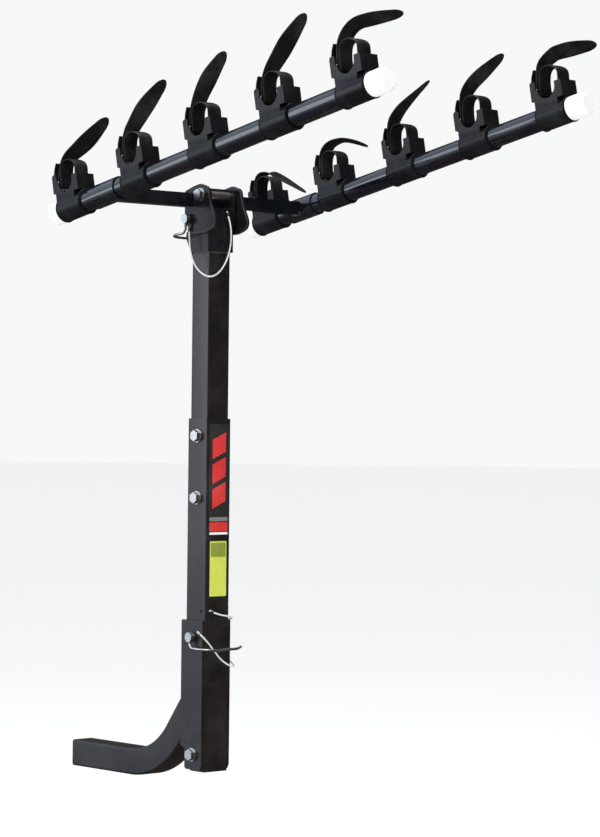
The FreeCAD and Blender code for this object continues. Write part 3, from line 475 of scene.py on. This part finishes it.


# the tether cables come first: points listed from the mast's foot and the tilt bolt
mastFoot = np.array(joints["mast_tilt"]["pos_m"])
tethers = {
    "lower": {
        "points": [(-22, -32, 268), (-6, -33, 262), (10, -33, 258), (27, -34, 256), (39, -27, 252),
                   (42, -9, 248), (43, 10, 234), (43, 16, 213), (44, 9, 190), (45, -10, 172), (43, -32, 162),
                   (24, -38, 164), (4, -35, 176), (-12, -35, 193), (-26, -35, 208), (-36, -30, 220),
                   (-36.5, -15, 229)],
        "length": 0.3175},
    "upper": {
        "points": [(6, -36, 1007), (11, -38, 992), (15, -39, 970), (14, -39, 946), (8, -38, 922),
                   (-3, -37, 902), (-18, -36, 888), (-33, -32, 884), (-41, -18, 892), (-44, -3, 908),
                   (-45, 7, 930), (-44.5, 11, 954), (-44, 13, 978)],
        "length": 0.2565},
}
cable = {"radius": 0.0015, "crimpRadius": 0.0027, "crimpLength": 0.008, "crimpEdge": 0.0006,
         "crimpStart": 0.001}


def makeTether(name, tether):
    # a smooth cord through the points, with a pressed metal sleeve at each end
    points = np.array(tether["points"]) / 1000 + mastFoot
    data = bpy.data.curves.new(name + "_tether_cable", "CURVE")
    data.dimensions = "3D"
    data.bevel_depth = cable["radius"]
    data.bevel_resolution = 5
    data.resolution_u = 12
    data.use_fill_caps = True
    spline = data.splines.new("NURBS")
    spline.points.add(len(points) - 1)
    spline.points.foreach_set("co", np.column_stack([points, np.ones(len(points))]).ravel())
    spline.order_u = 3
    spline.use_endpoint_u = True
    data.materials.append(finishes["cableWhite"])
    cord = bpy.data.objects.new(name + "_tether_cable", data)
    scene.collection.objects.link(cord)
    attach(cord, "mast")
    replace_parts(cord, name + "_tether")
    crimps = []
    length, radius, edge = cable["crimpLength"], cable["crimpRadius"], cable["crimpEdge"]
    # a sleeve with broken edges and a pinch round its middle
    shape = [(0, 0), (0, radius * 0.8), (edge, radius), (length * 0.45, radius),
             (length * 0.5, radius * 0.86), (length * 0.55, radius), (length - edge, radius),
             (length, radius * 0.8), (length, 0)]
    for at, toward in ((points[0], points[1]), (points[-1], points[-2])):
        way = unit(toward - at)
        crimps.append(turnedPart(shape, at + way * cable["crimpStart"], way, 24))
    crimp = makePiece(name + "_tether_crimps", crimps, "zinc", "mast")


for name, tether in tethers.items():
    makeTether(name, tether)
print("tethers made")


# steel, plastic and hardware: a CAD node keeps its shape, or a copy of it gets rounded edges
def paint(name, material):
    # the CAD node's own mesh with a finish
    for holder in nodes[name].material_slots:
        holder.material = finishes[material]


def soften(name, width, material, edge, segments=2, angle=32.0):
    # a copy of the CAD node's mesh: flat faces merged, sharp edges rounded, the roundings in the edge finish;
    # where that finish is lighter than the body it is a painted highlight along the edges
    piece = bpy.data.objects.new(name + "_rounded", nodes[name].data.copy())
    scene.collection.objects.link(piece)
    mesh = piece.data
    shell = bmesh.new()
    shell.from_mesh(mesh)
    bmesh.ops.remove_doubles(shell, verts=shell.verts, dist=2e-6)
    bmesh.ops.dissolve_limit(shell, angle_limit=math.radians(0.4), verts=shell.verts, edges=shell.edges)
    shell.to_mesh(mesh)
    shell.free()
    mesh.materials.clear()
    mesh.materials.append(finishes[material])
    mesh.materials.append(finishes[edge])
    mesh.shade_smooth()
    mesh.set_sharp_from_angle(angle=math.radians(angle))
    rounding = piece.modifiers.new("rounding", "BEVEL")
    rounding.width = width
    rounding.segments = segments
    rounding.limit_method = "ANGLE"
    rounding.angle_limit = math.radians(angle)
    rounding.use_clamp_overlap = True
    rounding.harden_normals = True
    rounding.material = 1
    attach(piece, nodes[name]["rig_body"])
    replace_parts(piece, name)


# for each node: the rounding width, the body finish and the edge finish; on the painted steel the lighter
# edge finish is edge wear plus a painted highlight
bevels = {
    "hitch_shank": (0.0012, "mastBlack", "wornEdgeAndHighlight"),
    "mast_channel": (0.0012, "mastBlack", "wornEdgeAndHighlight"),
    "head_sleeve": (0.0010, "headBlack", "wornEdgeAndHighlight"),
    "head_gusset": (0.0008, "headBlack", "wornEdgeAndHighlight"),
    "arm_bracket": (0.0010, "headBlack", "wornEdgeAndHighlight"),
    "lower_mast": (0.0006, "mastBlack", "wornEdgeAndHighlight"),
    "upper_mast": (0.0006, "mastBlack", "wornEdgeAndHighlight"),
    "arm_sleeve_left": (0.0006, "glossBlack", "glossBlack"),
    "arm_sleeve_right": (0.0006, "glossBlack", "glossBlack"),
    "tilt_bolt": (0.0006, "zinc", "zinc"),
    "tilt_nut": (0.0005, "zinc", "zinc"),
    "splice_bolts": (0.0005, "zinc", "zinc"),
    "pivot_bolt": (0.0006, "zinc", "zinc"),
    "pivot_nut": (0.0005, "zinc", "zinc"),
    "pivot_bushes": (0.0005, "zinc", "zinc"),
    "lower_pin": (0.0010, "zinc", "zinc"),
    "upper_pin": (0.0010, "zinc", "zinc"),
    "rear_caps": (0.0010, "capWhite", "capWhite"),
    "front_caps": (0.0008, "capWhite", "capWhite"),
}
for name, (width, material, edge) in bevels.items():
    soften(name, width, material, edge)
for name, material in (("arm_left", "glossBlack"), ("arm_right", "glossBlack"), ("crossbar", "glossBlack"),
                       ("hitch_weld_nut", "zinc"), ("lower_bail", "zinc"), ("upper_bail", "zinc")):
    paint(name, material)
print("frame and hardware finished")

# cradles, catches and straps, in millimetres in the arm's frame: x across, y along the arm, z square to it
arm = {"tilt": 11.4, "catchBack": 11.5, "catchRise": 59.0, "sides": ("left", "right"),
       "numbers": (1, 2, 3, 4, 5)}
tilt = math.radians(arm["tilt"])
armTurn = np.array([[1, 0, 0], [0, math.cos(tilt), math.sin(tilt)], [0, -math.sin(tilt), math.cos(tilt)]])
tags = [f"{side}_{number}" for side in arm["sides"] for number in arm["numbers"]]


def onCradle(points, tag):
    # from the arm's frame to the rack's: turned by the arm's tilt, and moved to this cradle
    axle = armTurn @ np.array([0, arm["catchBack"], arm["catchRise"]]) / 1000
    origin = np.array(joints[f"catch_{tag}_open"]["pos_m"]) - axle
    return np.asarray(points, float) @ armTurn.T / 1000 + origin


def placedPart(part, tag):
    points, faces, corners = part
    return onCradle(points, tag), faces, corners


collar = {"radius": 22.6, "front": -57.0, "rear": 12.0, "lip": 1.1, "lipInset": 1.4}
screw = {"radius": 5.0, "thick": 2.4, "lean": 16.0, "cupRadius": 20.5, "cupBack": -20.5, "cupRise": 48.0}
lever = {"points": [(0, 13.2, 57), (0, 15, 60), (0, 15.4, 68), (0, 12.8, 79), (0, 8.6, 87)], "width": 30.0,
         "thick": 3.4}


def makeCradle(tag):
    # the rounded CAD cradle, its rounded edges in a lighter finish as a painted highlight, and a small round
    # lip at each end of its collar
    soften("cradle_" + tag, 0.0009, "cradleBlack", "cradleEdgeHighlight")
    turn = np.linspace(0, 2 * math.pi, 41)
    trims = []
    turn = turn[:-1]
    small = np.linspace(0, 2 * math.pi, 10, endpoint=False)
    out = np.stack([np.cos(turn), 0 * turn, np.sin(turn)], -1)
    along = np.array([0, 1.0, 0])
    section = np.cos(small)[None, :, None] * out[:, None] + np.sin(small)[None, :, None] * along
    for y in (collar["front"] + collar["lipInset"], collar["rear"] - collar["lipInset"]):
        grid = (out * collar["radius"] + along * y)[:, None] + collar["lip"] * section
        trims.append(placedPart(gridPart(np.concatenate([grid, grid[:1]]), capped=False), tag))
    makePiece("collar_lips_" + tag, trims, "cradleBlack", "arms")


def makeCatch(tag):
    # a nose and an axle turned about the joint's axis, and a curved lever that widens slightly at its tip
    nose = turnedPart([(-15, 0), (-15, 4.2), (-14.2, 5), (14.2, 5), (15, 4.2), (15, 0)],
                      (0, arm["catchBack"], arm["catchRise"]), (1, 0, 0), 32)
    axle = turnedPart([(-19.5, 0), (-19.5, 2.5), (19.5, 2.5), (19.5, 0)],
                      (0, arm["catchBack"], arm["catchRise"]), (1, 0, 0), 24)
    plate = bandPart(lever["points"], lambda s: lever["width"] * (1 - 0.12 * s ** 2) * np.ones_like(s),
                     lambda s: lever["thick"] * (1 + 0.35 * np.exp(-((s - 1) / 0.12) ** 2)),
                     lambda s: np.tile([1.0, 0, 0], (len(s), 1)), 40)
    piece = makePiece("catch_lever_" + tag, [placedPart(part, tag) for part in (nose, axle, plate)],
                      "cradleBlack", "catch_" + tag)
    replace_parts(piece, "catch_" + tag)


loop = [(0, -46, 29), (0, -46, 55), (0, -48, 74), (0, -30, 86), (0, -10, 86), (0, -2, 68), (0, -2, 38),
        (0, 4, 38), (0, 4, 66)]
# the free tail of each strap: its points, and the way its width lies at the tip
tails = {
    "left_1": {"wide": (0.8, 0.1, -0.6),
               "points": [(7, -4, 95), (24, -22, 112), (40, -40, 130), (63, -64, 160)]},
    "left_2": {"wide": (0.8, 0.1, -0.6),
               "points": [(5, 0, 92), (14, -12, 112), (26, -28, 138), (53, -58, 178)]},
    "left_3": {"wide": (0.8, 0.1, -0.5),
               "points": [(6, -1, 94), (14, -15, 121), (25, -29, 146), (42, -48, 176)]},
    "left_4": {"wide": (0.8, 0.1, -0.6),
               "points": [(6, -2, 94), (19, -18, 120), (31, -33, 146), (52, -59, 184)]},
    "left_5": {"wide": (0.6, 0.5, -0.45),
               "points": [(4, 0, 94), (17, -15, 117), (36, -34, 122), (78, -71, 125)]},
    "right_1": {"wide": (0.6, 0.6, 0.5),
               "points": [(4, 0, 92), (16, -14, 99), (34, -26, 88), (63, -60, 50)]},
    "right_2": {"wide": (0.6, 0.7, 0.0),
               "points": [(4, 0, 93), (15, -12, 108), (38, -32, 112), (66, -53, 93)]},
    "right_3": {"wide": (0.7, 0.6, -0.1),
               "points": [(1, 0, 94), (7, -8, 110), (21, -22, 130), (54, -57, 166)]},
    "right_4": {"wide": (0.8, 0.3, -0.4),
               "points": [(1, 0, 94), (9, -10, 112), (23, -24, 128), (55, -57, 160)]},
    "right_5": {"wide": (0.6, 0.3, -0.6),
               "points": [(1, 0, 92), (11, -10, 106), (27, -24, 118), (76, -68, 120)]},
}
strap = {"width": 30.0, "paddle": 36.0, "taper": 0.5, "thick": 3.4, "tip": 0.055, "ridge": 0.16, "pitch": 4.0}


def makeStrap(tag):
    # one band through the slot, over the tube and round the nose, whose tail widens, tapers and is ridged
    tail = tails[tag]
    points = loop + tail["points"]
    loopShare = np.linalg.norm(np.diff(loop, axis=0), axis=1).sum()
    loopShare /= np.linalg.norm(np.diff(points, axis=0), axis=1).sum()

    def ease(share, start, end):
        t = np.clip((share - start) / (end - start), 0, 1)
        return t * t * (3 - 2 * t)

    def widths(share):
        middle = loopShare + 0.5 * (1 - loopShare)
        grow = strap["width"] + (strap["paddle"] - strap["width"]) * ease(share, loopShare, middle)
        grow *= 1 - strap["taper"] * ease(share, middle, 1.04)
        tip = np.clip((1 - share) / strap["tip"], 0, 1)
        return grow * np.maximum(np.sqrt(1 - (1 - tip) ** 2), 0.12)

    def thicks(share):
        length = share * 330
        ridges = strap["ridge"] * np.sin(2 * math.pi * length / strap["pitch"]) * (share > loopShare * 0.4)
        return strap["thick"] * (1 - 0.25 * ease(share, 0.8, 1)) + ridges

    def sideways(share):
        turn = ease(share, loopShare * 1.02, 0.97)[:, None]
        return (1 - turn) * np.array([1.0, 0, 0]) + turn * unit(np.array(tail["wide"], float))

    piece = makePiece("strap_band_" + tag, [placedPart(bandPart(points, widths, thicks, sideways, 300), tag)],
                      "strapRubber", "arms", 60)
    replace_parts(piece, "strap_" + tag)


def makeScrews():
    # domed heads with a deep socket, square to the cup's floor
    lean = math.radians(screw["lean"])
    inward = np.array([0, -math.sin(lean), math.cos(lean)])
    seat = np.array([0, screw["cupBack"], screw["cupRise"]]) - inward * (screw["cupRadius"] + 1.2)
    radius, thick = screw["radius"], screw["thick"]
    shape = [(-6, 0), (-6, 1.6), (0, 1.6), (0, radius - 0.3), (0.5, radius), (thick * 0.5, radius * 0.93),
             (thick * 0.85, radius * 0.72), (thick, radius * 0.5), (thick - 0.2, radius * 0.44),
             (thick - 1.4, radius * 0.40), (thick - 1.5, 0)]
    parts = [placedPart(turnedPart(shape, seat, inward, 32), tag) for tag in tags]
    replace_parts(makePiece("cradle_screw_heads", parts, "zinc", "arms", 30), "cradle_screws")


for tag in tags:
    makeCradle(tag)
    makeCatch(tag)
    makeStrap(tag)
makeScrews()
print("cradles, catches and straps made")

# weld beads, and the plain coloured labels on the mast
weld = {"radius": 0.0022, "ripple": 0.0005, "pitch": 0.0035, "corner": 0.8, "steps": 260, "sides": 12}


def squareLoop(middle, half, normalAxis):
    # a square with cut corners round middle, square to one axis
    corner = weld["corner"]
    ring = np.array([(1, -corner), (1, corner), (corner, 1), (-corner, 1), (-1, corner), (-1, -corner),
                     (-corner, -1), (corner, -1), (1, -corner)]) * half
    others = [axis for axis in range(3) if axis != normalAxis]
    points = np.tile(np.asarray(middle, float), (len(ring), 1))
    points[:, others] += ring
    return points


def makeBead(name, points, body):
    # a round bead along a closed path, its radius rippled by the size of a sine of the length
    def radii(steps):
        ripple = np.abs(np.sin(math.pi * steps / weld["pitch"]))
        return weld["radius"] + weld["ripple"] * ripple - weld["ripple"] / 2

    grid = tubePart(points, radii, weld["steps"], weld["sides"], closed=True)
    part = gridPart(np.concatenate([grid, grid[:1]]), capped=False)
    makePiece(name, [part], "weldPaint", body, 60)


barLow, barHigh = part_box("crossbar")
barMiddle = (np.array(barLow) + np.array(barHigh)) / 2
barHalf = (barHigh[2] - barLow[2]) / 2
for side, x in (("left", barLow[0]), ("right", barHigh[0])):
    inset = math.copysign(weld["radius"], -x)
    makeBead(f"weld_bar_{side}", squareLoop((x + inset, barMiddle[1], barMiddle[2]), barHalf, 0), "arms")
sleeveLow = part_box("head_sleeve")[0]
mastLow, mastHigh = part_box("upper_mast")
mastMiddle = (np.array(mastLow) + np.array(mastHigh)) / 2
makeBead("weld_sleeve", squareLoop((mastMiddle[0], mastMiddle[1], sleeveLow[2]),
                                   (mastHigh[0] - mastLow[0]) / 2 + 0.0005, 2), "mast")

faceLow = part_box("lower_mast")[0]
face = {"y": faceLow[1], "left": -0.024, "right": 0.024, "lift": 0.00025, "corner": 0.002}
labels = {
    "panel_black": {"low": 0.4394, "high": 0.645, "lift": 1, "finish": "labelBlack", "inset": 0.0},
    "panel_red_band": {"low": 0.446, "high": 0.463, "lift": 2, "finish": "labelRed", "inset": 0.002},
    "panel_grey_band": {"low": 0.465, "high": 0.4725, "lift": 2, "finish": "labelGrey", "inset": 0.002},
    "panel_white_line": {"low": 0.4402, "high": 0.4445, "lift": 2, "finish": "labelWhite", "inset": 0.002},
    "panel_lime": {"low": 0.326, "high": 0.428, "lift": 1, "finish": "labelLime", "inset": 0.004},
    "panel_olive_block": {"low": 0.399, "high": 0.425, "lift": 2, "finish": "labelOlive", "inset": 0.006},
}


def makeLabel(name, label):
    # a thin plate with rounded corners on the mast's front face
    low = (face["left"] + label["inset"], label["low"])
    high = (face["right"] - label["inset"], label["high"])
    front = face["y"] - face["lift"] * label["lift"]
    back = face["y"] - face["lift"] * (label["lift"] - 1)
    rings = [plateRing(low, high, face["corner"], depth) for depth in (back, front)]
    makePiece(name, [gridPart(np.stack(rings))], label["finish"], "mast", 30)


for name, label in labels.items():
    makeLabel(name, label)


stripes = {"lows": (0.488, 0.534, 0.580), "half": 0.016, "rise": 0.014, "height": 0.036}


def makeStripes():
    # plain slanted stripes that fill the black panel's middle
    half, rise, height = stripes["half"], stripes["rise"], stripes["height"]
    parts = []
    for low in stripes["lows"]:
        outline = np.array([(-half, low), (half, low + rise), (half, low + rise + height),
                            (-half, low + height)])
        rings = [np.stack([outline[:, 0], np.full(4, face["y"] - face["lift"] * step), outline[:, 1]], -1)
                 for step in (1, 2)]
        parts.append(gridPart(np.stack(rings)))
    makePiece("panel_red_stripes", parts, "labelRed", "mast", 30)


makeStripes()
print("welds and labels made")
